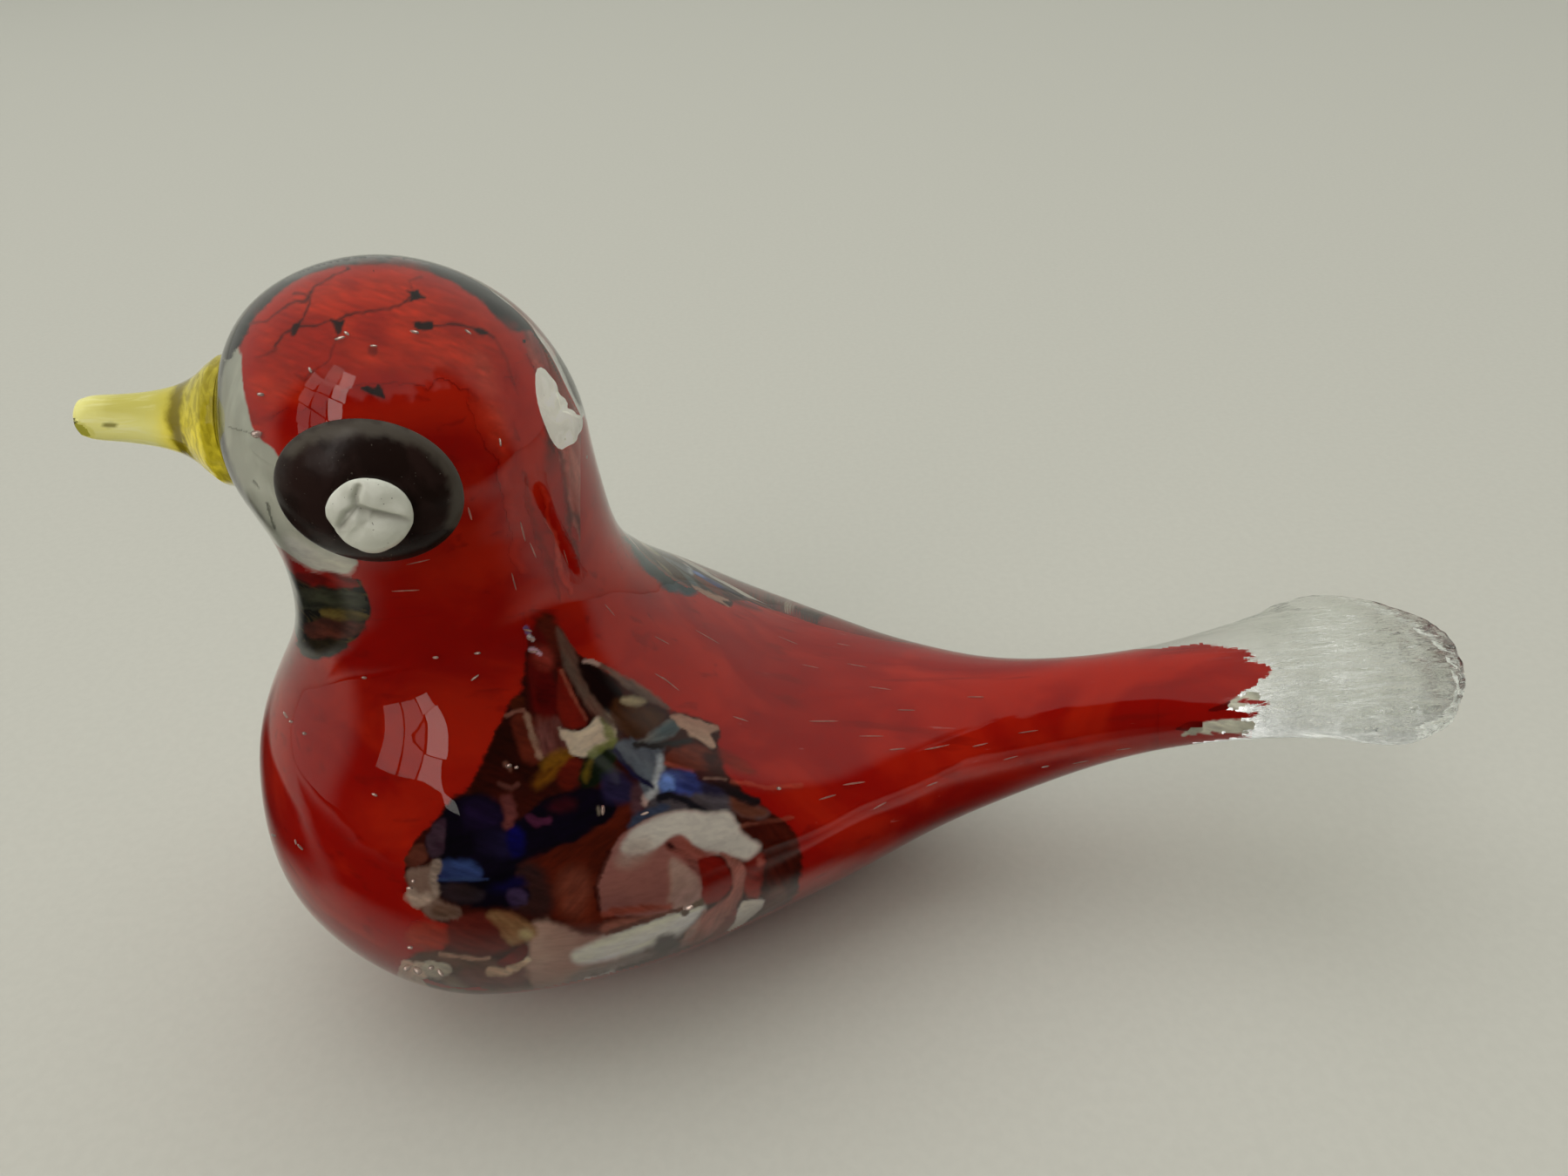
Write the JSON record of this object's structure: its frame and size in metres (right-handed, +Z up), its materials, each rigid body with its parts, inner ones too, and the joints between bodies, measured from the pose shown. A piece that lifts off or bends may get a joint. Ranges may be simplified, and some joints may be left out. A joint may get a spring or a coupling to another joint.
{
  "type": "glass dove paperweight",
  "caption": "Solid cased-glass dove ornament with a beak, pressed eyes and a drawn-out fan tail, resting on a small flat under its belly.",
  "frame": {"origin": "middle of the underside of the whole bird's box, on the surface it rests on", "axes": "-X the way the beak points, +X along the tail, -Y the bird's left side, +Z up"},
  "size_m": [0.1299, 0.0536, 0.0713],
  "materials": {
    "glass_body": "clear glass over an opaque red coat, polished",
    "beak": "translucent yellow-green glass, polished",
    "eye_disc": "near-black brown glass, polished",
    "eye_dot": "white opal glass, polished"
  },
  "bodies": {
    "root": {"glass_body": "glass_body", "beak": "beak", "eye_disc_left": "eye_disc", "eye_disc_right": "eye_disc", "eye_dot_left": "eye_dot", "eye_dot_right": "eye_dot"}
  },
  "joints": []
}
